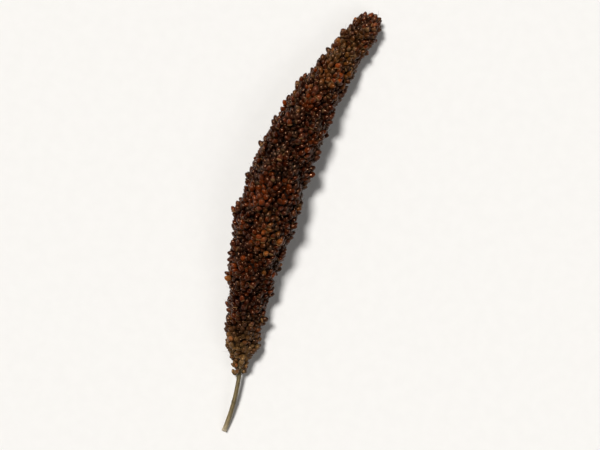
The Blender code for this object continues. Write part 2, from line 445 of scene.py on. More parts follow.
def head_offset():
    """How far the packed head lies from the free axis, read from the stalk's buried end."""
    corners = np.array([vertex.co for vertex in frame["nodes"]["stalk"].data.vertices])
    reach = corners @ base_direction()
    buried = corners[reach > reach.max() - STALK_TOP_RADIUS / 10].mean(0)
    offset = buried - (free_axis(0.0) + base_direction() * STALK_SUNK)
    return np.array([offset[0], offset[1], 0.0])


HEAD_OFFSET = head_offset()


def cluster_spiral():
    """The clusters' places: distance along the axis, angle round it, and rise of each crown."""
    random = np.random.default_rng(CLUSTER_SEED)
    along, turn, places = 0.0, 0.0, []
    while along < HEAD_LENGTH:
        radius = float(body_radius(along / HEAD_LENGTH))
        shift = CLUSTER_SHIFT * random.uniform(-1, 1, 2)
        crown = -CLUSTER_UNEVEN * random.random()
        places.append((along + shift[0], (turn + shift[1] / radius) % math.tau, crown))
        along += CLUSTER_SPACING**2 / (math.tau * radius)
        turn += GOLDEN_ANGLE
    return np.array(places)


CLUSTERS = cluster_spiral()


def hill(far):
    """A smooth hill: 1 at a distance of 0, and nearly nothing from 2 on."""
    return np.exp(-(far**2))


def turn_between(first, second):
    """The turn from the second angle to the first, the shorter way round."""
    return (first - second + math.pi) % math.tau - math.pi


def cluster_relief(share, turn, radius):
    """How far the surface lies below the outer radius, where domes meet in grooves."""
    apart = turn_between(turn[:, None], CLUSTERS[:, 1])
    along = (share[:, None] * HEAD_LENGTH - CLUSTERS[:, 0]) / CLUSTER_STRETCH
    far = np.hypot(along, radius[:, None] * apart) / CLUSTER_REACH
    domes = (CLUSTERS[:, 2] - CLUSTER_DEPTH * far**2).max(1)
    return np.maximum(domes, -CLUSTER_DEPTH) * np.minimum(radius / CLUSTER_FULL_RADIUS, 1.0)


def round_axis(heading, turn, height):
    """Directions out of an axis with this heading: to the left at turn 0, then over the top."""
    aside = np.cos(turn)
    return np.stack([-np.cos(heading) * aside, np.sin(heading) * aside, height * np.sin(turn)], -1)


def smooth_surface(share, turn):
    """Points on the head's outline turned round its bent axis, without clusters."""
    outward = round_axis(axis_heading(share), turn, HEIGHT_SHARE)
    return free_axis(share) + HEAD_OFFSET + outer_radius(share)[:, None] * outward


def unit(vectors):
    """The same vectors, one long."""
    return vectors / np.maximum(np.linalg.norm(vectors, axis=-1, keepdims=True), 1e-12)


def directions(surface, share, turn):
    """Along, round and out of a surface given as a function of share and turn."""
    low = np.clip(share - SMALL_STEP, 0.0, 1.0)
    high = np.clip(share + SMALL_STEP, 0.0, 1.0)
    along = surface(high, turn) - surface(low, turn)
    spin = SMALL_STEP * HEAD_LENGTH / np.maximum(outer_radius(share), 0.001)
    around = surface(share, turn + spin) - surface(share, turn - spin)
    return unit(along), unit(around), unit(np.cross(around, along))


def head_surface(share, turn, depth=0.0):
    """Points at a depth under the surface of the seed clusters."""
    radius = outer_radius(share)
    outward = directions(smooth_surface, share, turn)[2]
    rise = cluster_relief(share, turn, radius) - depth * relief_scale(radius)
    return smooth_surface(share, turn) + outward * rise[:, None]


def stalk_point(t):
    """A point on the stalk's centre line, from the head's base at 0 to the cut end at 1."""
    base = free_axis(0.0) + HEAD_OFFSET
    if t < 0:
        return base - base_direction() * t * STALK_LENGTH
    heading = BASE_HEADING + STALK_HEADING_TURN * t
    away = np.array([-math.sin(heading), -math.cos(heading), 0.0]) * STALK_LENGTH * t
    drop = (base[2] - STALK_CUT_RADIUS - TABLE_GAP) * t**STALK_DROOP_POWER
    return base + away - np.array([0.0, 0.0, drop])


# Where things stand on the head


def even_places(count, spread, random):
    """Places spread evenly over the head without rows: a loose spiral whose places push apart.

    A spread is the spacing of the places, their depth and how many rounds push them apart.
    """
    spacing, depth, rounds = spread
    fine = np.linspace(0, 1, AXIS_STEPS + 1)
    radius = outer_radius(fine)
    step = np.hypot(np.diff(fine) * HEAD_LENGTH, np.diff(radius))
    area = np.concatenate([[0], np.cumsum(step * (radius[1:] + radius[:-1]) / 2)])
    share = np.interp((np.arange(count) + 0.5) / count * area[-1], area, fine)
    share = share + spacing / HEAD_LENGTH * random.uniform(-0.7, 0.7, count)
    turn = np.arange(count) * GOLDEN_ANGLE + random.uniform(-0.5, 0.5, count) * spacing / 0.008
    share = np.clip(share, SMALL_STEP, 1 - SMALL_STEP)
    for _ in range(rounds):
        points = head_surface(share, turn, depth)
        along, around, _ = directions(smooth_surface, share, turn)
        push = crowding(points, spacing)
        share = share + (push * along).sum(1) / HEAD_LENGTH
        turn = turn + (push * around).sum(1) / np.maximum(outer_radius(share), 0.002)
        share = np.clip(share, SMALL_STEP, 1 - SMALL_STEP)
    return share, turn % math.tau


def crowding(points, spacing):
    """The push on each point away from its neighbours that are nearer than the spacing."""
    tree = kdtree.KDTree(len(points))
    for index, point in enumerate(points):
        tree.insert(point, index)
    tree.balance()
    push = np.zeros_like(points)
    for index, point in enumerate(points):
        for near, other, distance in tree.find_range(point, spacing):
            if other != index and distance > 0:
                push[index] += (point - np.array(near)) / distance * (spacing - distance) / 2
    return push


def soft_noise(points, size, seed):
    """Smooth noise from -1 to 1 at each point, with features of this size."""
    shift = Vector((seed * 7.3, seed * 3.1, seed * 5.7))
    return np.array([noise.noise(Vector(point) / size + shift) for point in points])


def group_noise(share, turn):
    """How low the small group of grains at each place stands, from -1 to 1."""
    return soft_noise(head_surface(share, turn), *GROUP_NOISE)


def patch_weight(share, turn, patches):
    """How strongly each place lies in one of the patches, from 0 to 1."""
    weight = np.zeros_like(share)
    for centre, degrees, reach in patches:
        apart = turn_between(turn, math.radians(degrees))
        far = np.hypot((share - centre) * HEAD_LENGTH, outer_radius(share) * apart) / reach
        weight = np.maximum(weight, hill(far))
    return weight


def near_base(share):
    """How near each place is to the head's base, from 0 to 1."""
    return hill(share * HEAD_LENGTH / STRAW_REACH)


def full_grain():
    """The width, thickness and length of a typical grain."""
    grains = bpy.context.scene.millet_grains
    return np.array([grains.width, grains.thickness, grains.length])


def grain_poses(share, turn, layer, random):
    """The turns and places of a layer's grains: out of the head and leaning, backs outward."""
    count = len(share)
    depth = layer["depth"] + layer["groups"] * group_noise(share, turn)
    depth = depth + random.uniform(-layer["uneven"], layer["uneven"], count)
    points = head_surface(share, turn, depth)
    along, _, outward = directions(head_surface, share, turn)
    lean = random.uniform(*layer["lean"], (count, 1))
    axis = unit(outward + along * lean + random.normal(0.0, layer["looseness"], (count, 3)))
    back = unit(outward + random.normal(0.0, 0.35, (count, 3)))
    back = unit(back - axis * (back * axis).sum(1)[:, None])
    side = np.cross(back, axis)
    size = random.normal(1.0, 0.085, (count, 1)).clip(0.80, 1.20)
    slim = random.normal(1.0, 0.06, (count, 2)).clip(0.82, 1.12)
    scale = full_grain() * size * np.concatenate([slim, np.ones((count, 1))], 1)
    turns = np.stack([side, back, axis], -1) * scale[:, None, :]
    places = points - axis * (scale[:, 2:] * 0.5)
    return turns, places


# The colours of the grains, and the painted light and shade on them


def blend(first, second, share):
    """Colours between two, by a share for each row."""
    first, second = np.array(first), np.array(second)
    return first + (second - first) * np.clip(share, 0, 1)[:, None]


def grain_colours(share, turn, random):
    """The colour of each grain: dark red-brown, with the other hulls in loose patches, times the painted
    light and shade of its place.
    """
    grains = bpy.context.scene.millet_grains
    points = head_surface(share, turn)
    count = len(share)
    colours = blend(grains.hull_colour, grains.deep_colour, random.uniform(-0.3, 1.0, count))
    mauve = 0.9 * soft_noise(points, *MAUVE_NOISE) + random.uniform(-0.4, 0.6, count)
    colours = blend(colours, grains.mauve_colour, mauve)
    olive = patch_weight(share, turn, OLIVE_PATCHES) + 0.35 * soft_noise(points, *OLIVE_NOISE)
    colours = blend(colours, grains.olive_colour, olive * random.uniform(0.1, 1.0, count))
    ember = 1.3 * patch_weight(share, turn, EMBER_PATCHES) + 0.35 * soft_noise(points, *EMBER_NOISE)
    stray = random.random(count) < STRAY_EMBERS
    ember = np.where(stray, 0.8, ember) * random.uniform(0.1, 1.0, count)
    colours = blend(colours, grains.ember_colour, ember)
    chance = STRAY_AMBERS + 0.34 * patch_weight(share, turn, AMBER_PATCHES)
    amber = np.where(random.random(count) < chance, random.uniform(0.2, 1.0, count), 0.0)
    colours = blend(colours, grains.amber_colour, amber)
    colours = blend(colours, grains.straw_colour, near_base(share) * random.uniform(0.2, 1.1, count))
    colours = colours * random.uniform(0.62, 1.42, (count, 1)) ** 1.5
    # Painted light and shade: lighter on the cluster crowns, darker in the grooves and in sunk groups
    return colours * painted_relief_light(share, turn)[:, None]


def painted_relief_light(share, turn):
    """The painted light and shade of a place: lighter on the cluster crowns, painted shade in the grooves
    between clusters and in low groups.
    """
    relief = cluster_relief(share, turn, outer_radius(share)) / CLUSTER_DEPTH
    clusters = PAINTED_CROWN_LIGHT + (PAINTED_CROWN_LIGHT - PAINTED_GROOVE_LIGHT) * relief
    return clusters * (1 - PAINTED_GROUP_SHADE * group_noise(share, turn))


# Faces over rows of points


def sides(size, closed=True):
    """Each point of a row with the one that follows it, round again to the first in a ring."""
    return [(side, (side + 1) % size) for side in range(size if closed else size - 1)]


def row_faces(first, rows, size, closed=True):
    """The four-sided faces between rows of points, from the given first point on."""
    faces = []
    for low in range(first, first + (rows - 1) * size, size):
        high = low + size
        faces += [(low + near, low + far, high + far, high + near) for near, far in sides(size, closed)]
    return faces


def pointed_faces(first, rows, size, closed=True):
    """The faces between rows of points, and from the last row to the point after it."""
    last = first + (rows - 1) * size
    tip = [(last + near, last + far, last + size) for near, far in sides(size, closed)]
    return row_faces(first, rows, size, closed) + tip


def tube_faces(rings, segments):
    """The faces of a closed tube whose rings run the other way round, capped at both ends."""
    skin = [(a, d, c, b) for a, b, c, d in row_faces(0, rings, segments)]
    cap = tuple(range(segments))
    end = tuple((rings - 1) * segments + corner for corner in reversed(cap))
    return [cap, *skin, end]


# Small forms of unit size


def grain_profile(level):
    """How wide a grain is, as a share of its widest, from its base at 0 to its beak at 1."""
    low = np.sqrt(np.clip(1 - ((GRAIN_WIDEST - level) / GRAIN_WIDEST) ** 2, 0, 1))
    high = np.clip(1 - ((level - GRAIN_WIDEST) / (1 - GRAIN_WIDEST)) ** 2, 0, 1) ** 0.60
    return np.where(level < GRAIN_WIDEST, low, high)


def grain_ring(level, turns):
    """One ring of a grain, with its rounder back towards +Y and a seam at each side."""
    width = grain_profile(level) / 2
    x = width * np.cos(turns)
    y = width * np.sin(turns)
    y = np.where(y < 0, y * GRAIN_FRONT, y)
    keel = 0.03 * np.cos(turns - math.pi / 2) ** 8 * (1 - level)
    seam = 0.05 * hill((np.sin(turns) + 0.42) / 0.16)
    spread = 1 + seam + keel
    return np.stack([x * spread, y * spread, np.full_like(turns, level)], -1)


def grain_template(rings, segments):
    """A closed hulled grain: its points and its faces."""
    turns = np.arange(segments) * math.tau / segments
    levels = (1 - np.cos(np.arange(1, rings) / rings * math.pi)) / 2
    bands = [grain_ring(level, turns) for level in levels]
    points = np.concatenate([[GRAIN_BASE], *bands, [GRAIN_BEAK]])
    base = [(0, 1 + far, 1 + near) for near, far in sides(segments)]
    return points, base + pointed_faces(1, rings - 1, segments)


def base_shade_and_dark_beak(points):
    """How dark a grain is along its length: painted shade at its base, where it sits down among the others,
    and its own darker colour a little at its beak.
    """
    # Painted shade at the base, where the grain sits down among its neighbours
    base = 0.32 + 0.68 * np.clip(points[:, 2] / 0.45, 0, 1)
    return base * (1 - 0.35 * np.clip((points[:, 2] - 0.85) / 0.15, 0, 1))


def wobbling(points, count, random):
    """Copies of a grain with small dents and swellings, different on each."""
    turns = np.arctan2(points[:, 1], points[:, 0])
    level = points[:, 2]
    first = random.uniform(0, math.tau, (count, 1))
    second = random.uniform(0, math.tau, (count, 1))
    dents = 0.030 * np.sin(2 * turns[None] + first) * np.sin(math.tau * level[None] + second)
    dents += 0.022 * np.sin(3 * turns[None] + second + 5 * level[None])
    return points * np.stack([1 + dents, 1 + dents, np.ones_like(dents)], -1)


def husk_skin(gap, flare):
    """One side of a scale, row by row from its base to its tip, and how near the rim it is."""
    row, column = np.divmod(np.arange(HUSK_ROWS * (HUSK_COLUMNS + 1) + 1), HUSK_COLUMNS + 1)
    climb, swing = row / HUSK_ROWS, 2 * column / HUSK_COLUMNS - 1
    turn = math.pi / 2 + HUSK_SPREAD * np.sqrt(1 - climb**2.2) * swing
    half = np.maximum(grain_profile(HUSK_REACH * climb) / 2, 0.16) + gap + flare * climb**3
    points = np.stack([half * np.cos(turn), half * np.sin(turn), HUSK_REACH * climb], -1)
    return points, np.maximum(np.abs(swing), climb) ** 2


def husk_template():
    """A thin curved scale that hugs a grain, and how near each of its points is to its rim."""
    outside, rim = husk_skin(*HUSK_OUTSIDE)
    inside = husk_skin(*HUSK_INSIDE)[0]
    size = len(rim)
    faces = pointed_faces(0, HUSK_ROWS, HUSK_COLUMNS + 1, closed=False)
    faces += [tuple(size + corner for corner in reversed(face)) for face in faces]
    left = list(range(0, size - 1, HUSK_COLUMNS + 1))
    right = [corner + HUSK_COLUMNS for corner in left]
    edge = left[::-1] + list(range(1, HUSK_COLUMNS)) + right + [size - 1]
    faces += [(b, a, size + a, size + b) for a, b in zip(edge, edge[1:] + edge[:1])]
    return (np.concatenate([outside, inside]), faces), np.tile(rim, 2)


def bristle_template():
    """A three-sided bristle of unit length, with a radius of one at its root."""
    row, side = np.divmod(np.arange(3 * BRISTLE_STEPS + 1), 3)
    level, turn = row / BRISTLE_STEPS, side * math.tau / 3
    radius = np.where(level < 1, 1.0 - 0.75 * level, 0.0)
    points = np.stack([radius * np.cos(turn), radius * np.sin(turn), level], -1)
    return points, pointed_faces(0, BRISTLE_STEPS, 3) + [(2, 1, 0)]


# Meshes and pieces


def placed(points, turns, places):
    """Copies of a small form, each turned and moved to its place."""
    copies = points if points.ndim == 3 else np.repeat(points[None], len(places), axis=0)
    return np.einsum("nij,nvj->nvi", turns, copies) + places[:, None, :]


def lift_off_floor(copies):
    """Moves up each copy that would reach below the floor."""
    lift = np.maximum(TABLE_GAP - copies[:, :, 2].min(1), 0.0)
    copies[:, :, 2] += lift[:, None]
    return copies


def add_object(name, data):
    """Links new data as an object of the scene."""
    item = bpy.data.objects.new(name, data)
    bpy.context.scene.collection.objects.link(item)
    return item


def add_piece(name, mesh, material, slot="grain_hull", replaced=()):
    """Links a mesh as a piece of the object, on the root body."""
    piece = add_object(name, mesh)
    mesh.materials.clear()
    mesh.materials.append(material)
    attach(piece, "root")
    for node in replaced:
        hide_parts(node)


def add_copies(name, material, copies, form, colours, shade, gloss=None, **piece):
    """Adds a piece of many copies of a small form, whose points are already in place.

    Each copy has its own colour and gloss. The form's shade, a grey or a colour for each point,
    darkens the colour, and each point knows where it is on the form.
    """
    points, faces = form
    count, size = copies.shape[:2]
    starts = range(0, count * size, size)
    mesh = bpy.data.meshes.new(name)
    faces = [[start + corner for corner in face] for start in starts for face in faces]
    mesh.from_pydata(copies.reshape(-1, 3), [], faces)
    mesh.shade_smooth()
    gloss = np.ones(count) if gloss is None else gloss
    gloss = np.repeat(gloss[:, None, None], size, axis=1)
    shaded = colours[:, None, :] * shade.reshape(1, size, -1)
    tint = mesh.color_attributes.new("tint", "FLOAT_COLOR", "POINT")
    tint.data.foreach_set("color", np.concatenate([shaded, gloss], -1).astype(np.float32).ravel())
    place = mesh.attributes.new("place", "FLOAT_VECTOR", "POINT")
    shifted = points[None] + (np.arange(count) * GOLDEN_ANGLE % 50)[:, None, None]
    place.data.foreach_set("vector", shifted.astype(np.float32).ravel())
    add_piece(name, mesh, material, **piece)


def add_grains(name, material, form, copies, colours, gloss, replaced=()):
    """Adds a piece of grains, each with painted shade at its base and a darker beak."""
    add_copies(name, material, copies, form, colours, base_shade_and_dark_beak(form[0]), gloss, replaced=replaced)


def add_husks(name, material, turns, places, share, turn, random):
    """A papery scale on each grain, larger and paler in the olive patches and at the base, with the painted
    light and shade of its place.
    """
    husks = bpy.context.scene.millet_husks
    form, rim = husk_template()
    count = len(share)
    pale = np.maximum(patch_weight(share, turn, OLIVE_PATCHES), near_base(share))
    reach = 0.70 + 0.20 * pale + random.uniform(-0.32, 0.36, count)
    full = 1.0 + random.uniform(0.0, 0.10, count)
    size = np.stack([full, full, reach], -1)
    swing = random.uniform(-1.3, 1.3, (count, 1))
    side, back, axis = np.moveaxis(turns, -1, 0)
    swung = [side * np.cos(swing) + back * np.sin(swing), back * np.cos(swing) - side * np.sin(swing)]
    copies = placed(form[0] * size[:, None, :], np.stack([*swung, axis], -1), places)
    pale = 0.16 + 0.55 * pale + random.uniform(-0.28, 0.48, count)
    # The husks take the same painted light and shade as the grains under them
    colours = blend(husks.husk_dark, husks.husk_colour, pale) * painted_relief_light(share, turn)[:, None]
    add_copies(name, material, lift_off_floor(copies), form, colours, 0.6 + 0.6 * rim)


# Materials


def feed(owner, node, entry, value):
    """Gives one input of a node a value or the output of another node."""
    if isinstance(value, bpy.types.NodeSocket):
        owner.node_tree.links.new(value, node.inputs[entry])
    else:
        node.inputs[entry].default_value = value


def add_node(owner, kind, **values):
    """A node of a material or of the surroundings: inputs have a capital, settings have none."""
    node = owner.node_tree.nodes.new(kind)
    for name, value in values.items():
        if name[0].isupper():
            feed(owner, node, name.replace("_", " "), value)
        else:
            setattr(node, name, value)
    return node


def new_material(name, roughness, specular=0.5, gloss=(1.0, 1.0, 1.0)):
    """A node material and its Principled shader, with the strength and colour of its gloss."""
    material = bpy.data.materials.new(name)
    material.use_nodes = True
    shader = material.node_tree.nodes["Principled BSDF"]
    feed(material, shader, "Roughness", roughness)
    feed(material, shader, "Specular IOR Level", specular)
    feed(material, shader, "Specular Tint", (*gloss, 1.0))
    return material, shader


def ramp(owner, source, low, high, at=(0.35, 0.65)):
    """A smooth change from one grey or colour to another over part of the source's range."""
    node = add_node(owner, "ShaderNodeValToRGB", Fac=source)
    for element, place, value in zip(node.color_ramp.elements, at, (low, high)):
        element.position = place
        element.color = (value, value, value, 1.0) if isinstance(value, float) else (*value, 1.0)
    return node.outputs["Color"]


def noise_texture(material, place, scale, detail):
    """A noise texture at the given places."""
    node = add_node(material, "ShaderNodeTexNoise", Vector=place, Scale=scale, Detail=detail)
    return node.outputs["Fac"]


def object_noise(material, size, detail=3.0):
    """Noise fixed to the piece, with features of this size."""
    place = add_node(material, "ShaderNodeTexCoord").outputs["Object"]
    return noise_texture(material, place, 1.0 / size, detail)


def copy_noise(material, stretch, scale, detail=2.0):
    """Noise fixed to each copy of a small form, stretched along its axes."""
    place = add_node(material, "ShaderNodeAttribute", attribute_name="place").outputs["Vector"]
    stretched = add_node(material, "ShaderNodeMapping", Vector=place, Scale=stretch)
    return noise_texture(material, stretched.outputs["Vector"], scale, detail)


def tinted(material, shader, speckle, low=0.72, high=1.25):
    """Base colour from the mesh's own tint, mottled by a noise texture."""
    tint = add_node(material, "ShaderNodeAttribute", attribute_name="tint")
    mix = add_node(material, "ShaderNodeMix", data_type="RGBA", blend_type="MULTIPLY", Factor=1.0)
    feed(material, mix, "A", tint.outputs["Color"])
    feed(material, mix, "B", ramp(material, speckle, low, high))
    feed(material, shader, "Base Color", mix.outputs["Result"])
    return tint.outputs["Alpha"]


def mottled(material, shader, texture, colour, darkest):
    """One base colour that a noise texture darkens in places, down to a share of it."""
    dark = tuple(darkest * part for part in colour)
    feed(material, shader, "Base Color", ramp(material, texture, dark, colour))


def bumped(material, shader, texture, strength, distance):
    """Fine relief from a noise texture."""
    bump = add_node(material, "ShaderNodeBump", Strength=strength, Distance=distance, Height=texture)
    feed(material, shader, "Normal", bump.outputs["Normal"])


def hull_material():
    """Glossy and duller grain hulls in their own colours, with fine wrinkles across them."""
    grains = bpy.context.scene.millet_grains
    glossy, matte = grains.gloss_roughness, grains.matte_roughness
    material, shader = new_material("glossy_hull", glossy, 0.50, GLOSS_TINT)
    shine = tinted(material, shader, copy_noise(material, (2.0, 2.0, 3.0), 1.6, 4.0), 0.55, 1.40)
    gloss = add_node(material, "ShaderNodeMapRange", Value=shine, To_Min=matte, To_Max=glossy)
    rough = add_node(material, "ShaderNodeMath", operation="MULTIPLY")
    feed(material, rough, 0, gloss.outputs["Result"])
    feed(material, rough, 1, ramp(material, object_noise(material, 0.0006), 0.85, 1.25))
    feed(material, shader, "Roughness", rough.outputs["Value"])
    bumped(material, shader, copy_noise(material, (4.0, 4.0, 22.0), 1.0, 3.0), 0.5, 0.00003)
    return material


def husk_material():
    """Papery scales, matte, with fine veins along them."""
    material, shader = new_material("papery_husk", 0.6, 0.25, DRY_TINT)
    tinted(material, shader, copy_noise(material, (30.0, 30.0, 1.5), 1.0), 0.55, 1.40)
    bumped(material, shader, copy_noise(material, (36.0, 36.0, 2.0), 1.0), 0.6, 0.00004)
    return material


def bristle_material():
    """Dry, slightly glossy bristles."""
    material, shader = new_material("dry_bristle", 0.42, 0.3, DRY_TINT)
    tinted(material, shader, object_noise(material, 0.0010))
    return material


def core_material():
    """The inside of the head, seen only through gaps, coloured near-black as painted shade."""
    material, shader = new_material("painted_shade_core", 0.8, 0.15)
    rough = object_noise(material, 0.0008, 4.0)
    mottled(material, shader, rough, bpy.context.scene.millet_stalk.painted_core_shade, 0.5)
    bumped(material, shader, rough, 0.8, 0.0003)
    return material


def straw_material():
    """Dry straw with fibres along it, in the colours of its own tint."""
    material, shader = new_material("dry_straw", 0.5, 0.35, DRY_TINT)
    tinted(material, shader, copy_noise(material, (5.0, 5.0, 0.8), 1.0, 5.0), 0.50, 1.45)
    feed(material, shader, "Roughness", ramp(material, object_noise(material, 0.0012), 0.40, 0.66))
    bumped(material, shader, copy_noise(material, (14.0, 14.0, 1.2), 1.0, 4.0), 0.8, 0.00006)
    return material


def floor_material():
    """A plain pale matte floor."""
    material, shader = new_material("pale_floor", 0.9, 0.1)
    shade = object_noise(material, 0.004, 4.0)
    mottled(material, shader, shade, bpy.context.scene.millet_stage.floor_colour, 0.985)
    return material


# Operators, one for each group of pieces


class MILLET_OT_core(bpy.types.Operator):
    """Builds the core that closes the gaps between the grains, near-black with painted shade"""

    bl_idname = "millet.core"
    bl_label = "Core"

    def execute(self, context):
        form = bmesh.new()
        bmesh.ops.create_uvsphere(form, u_segments=CORE_SEGMENTS, v_segments=CORE_RINGS, radius=1.0)
        x, y, z = np.array([vertex.co for vertex in form.verts]).T
        level, turn = np.arccos(z.clip(-1, 1)) / math.pi, np.arctan2(y, x)
        share = np.clip(CORE_INSET + (1 - 2 * CORE_INSET) * level, 0.0, 1.0)
        points = head_surface(share, turn, CORE_DEPTH)
        points[:, 2] = np.maximum(points[:, 2], CORE_FLOOR_GAP)
        for vertex, point in zip(form.verts, points):
            vertex.co = point
        bmesh.ops.recalc_face_normals(form, faces=form.faces)
        mesh = bpy.data.meshes.new("core")
        form.to_mesh(mesh)
        form.free()
        mesh.shade_smooth()
        add_piece("core", mesh, core_material())
        return {"FINISHED"}


class MILLET_OT_grains(bpy.types.Operator):
    """Builds the two layers of hulled grains and their husks"""

    bl_idname = "millet.grains"
    bl_label = "Grains"

    def execute(self, context):
        random = np.random.default_rng(GRAIN_SEED)
        hull, paper = hull_material(), husk_material()
        form = grain_template(GRAIN_RINGS, GRAIN_SEGMENTS)
        count = context.scene.millet_grains.outer_count
        share, turn = even_places(count, OUTER_LAYER["spread"], random)
        turns, places = grain_poses(share, turn, OUTER_LAYER, random)
        copies = lift_off_floor(placed(wobbling(form[0], count, random), turns, places))
        colours = grain_colours(share, turn, random)
        gloss = random.uniform(0.0, 1.0, count) ** 0.6
        order = np.argsort(share, kind="stable")
        for end, chosen in zip(("base", "tip"), np.array_split(order, 2)):
            replaced = ("seed_head",) if end == "base" else ()
            half = [values[chosen] for values in (copies, colours, gloss)]
            add_grains("grains_" + end + "_half", hull, form, *half, replaced)
            half = [values[chosen] for values in (turns, places, share, turn)]
            add_husks("husks_" + end + "_half", paper, *half, random)
        self.add_inner_layer(hull, random)
        return {"FINISHED"}

    def add_inner_layer(self, hull, random):
        """Grains that fill the gaps of the layer above, darkened with painted shade."""
        form = grain_template(INNER_RINGS, INNER_SEGMENTS)
        count = bpy.context.scene.millet_grains.inner_count
        share, turn = even_places(count, INNER_LAYER["spread"], random)
        turns, places = grain_poses(share, turn, INNER_LAYER, random)
        copies = lift_off_floor(placed(form[0], turns, places))
        # Painted shade: the inner grains are darkened as if in the shadow of the outer layer
        colours = PAINTED_INNER_SHADE * grain_colours(share, turn, random)
        add_grains("grains_inner", hull, form, copies, colours, random.random(count))


class MILLET_OT_tufts(bpy.types.Operator):
    """Builds the short branchlets with a few grains where the stalk enters the head"""

    bl_idname = "millet.tufts"
    bl_label = "Loose tufts"

    def execute(self, context):
        stalk = context.scene.millet_stalk
        random = np.random.default_rng(TUFT_SEED)
        count = context.scene.millet_grains.tuft_count
        far = np.linspace(*TUFT_PLACES, count)
        turn = np.arange(count) * GOLDEN_ANGLE + TUFT_FIRST_TURN
        forward = base_direction()
        outward = round_axis(BASE_HEADING, turn, 1.0)
        line = np.array([stalk_point(t) for t in far / STALK_LENGTH])
        axis = unit(outward + forward * random.uniform(0.7, 1.3, (count, 1)))
        length = BRANCHLET_LENGTH - BRANCHLET_SHORTENING * far + random.uniform(-0.0003, 0.0003, count)
        side = unit(np.cross(axis, forward))
        roots = line + outward * STALK_TOP_RADIUS * 0.6
        form = bristle_template()
        scale = [BRANCHLET_RADIUS, BRANCHLET_RADIUS, 1.0]
        turns = np.stack([side, np.cross(axis, side), axis * length[:, None]], -1)
        copies = placed(form[0] * scale, turns, roots)
        colours = blend(stalk.straw_colour, stalk.stain_colour, random.random(count))
        shade = 0.7 + 0.3 * form[0][:, 2]
        add_copies("branchlets", straw_material(), copies, form, colours, shade, slot="dry_stalk")
        self.add_tuft_grains(roots, axis, side, length, random)
        return {"FINISHED"}

    def add_tuft_grains(self, roots, axis, side, length, random):
        """Four straw-coloured grains on each branchlet at the head, and fewer on the lower ones."""
        form = grain_template(GRAIN_RINGS, GRAIN_SEGMENTS)
        places, turns = [], []
        for index in range(len(roots)):
            over = np.cross(axis[index], side[index])
            for step in range(4 - 3 * index // len(roots)):
                spin = step * GOLDEN_ANGLE + index
                out = side[index] * math.cos(spin) + over * math.sin(spin)
                leaning = out * (0.25 + 0.25 * step)
                direction = unit(axis[index] + leaning + random.normal(0, 0.1, 3))
                back = unit(out - direction * (out @ direction))
                size = full_grain() * random.uniform(0.66, 0.86)
                turns.append(np.stack([np.cross(back, direction), back, direction], -1) * size)
                places.append(roots[index] + axis[index] * length[index] * (1.0 - 0.24 * step))
        turns, places = np.array(turns), np.array(places)
        count = len(places)
        share = np.full(count, 0.01)
        turn = random.uniform(0, math.tau, count)
        copies = placed(wobbling(form[0], count, random), turns, places)
        colours = grain_colours(share, turn, random)
        add_grains("tuft_grains", hull_material(), form, copies, colours, random.random(count))
        add_husks("tuft_husks", husk_material(), turns, places, share, turn, random)


class MILLET_OT_bristles(bpy.types.Operator):
    """Builds the fine bristles that stand a little past the grains"""

    bl_idname = "millet.bristles"
    bl_label = "Bristles"

    def execute(self, context):
        husks = context.scene.millet_husks
        random = np.random.default_rng(BRISTLE_SEED)
        count = husks.bristle_count
        share, turn = even_places(count, BRISTLE_SPREAD, random)
        roots = head_surface(share, turn, BRISTLE_SPREAD[1])
        along, _, outward = directions(smooth_surface, share, turn)
        lean = random.uniform(*BRISTLE_LEAN, (count, 1))
        axis = unit(outward + along * lean + random.normal(0.0, BRISTLE_LOOSENESS, (count, 3)))
        curl = unit(np.cross(axis, random.normal(0.0, 1.0, (count, 3))))
        length = husks.bristle_length * random.uniform(0.50, 1.20, count)
        length = length * (0.55 + 0.45 * relief_scale(outer_radius(share)))
        form = bristle_template()
        level = form[0][:, 2]
        bend = random.uniform(-BRISTLE_BEND, BRISTLE_BEND, (count, 1)) * length[:, None] * level**2
        radius = husks.bristle_radius * random.uniform(0.7, 1.2, count)
        curved = form[0] * np.stack([radius, radius, length], -1)[:, None, :]
        curved[:, :, 1] += bend
        copies = placed(curved, np.stack([np.cross(curl, axis), curl, axis], -1), roots)
        copies = copies[copies[:, :, 2].min(1) > TABLE_GAP]
        colours = blend(husks.bristle_colour, husks.husk_dark, random.random(len(copies)))
        add_copies("bristles", bristle_material(), copies, form, colours, 0.8 + 0.5 * level)
        return {"FINISHED"}


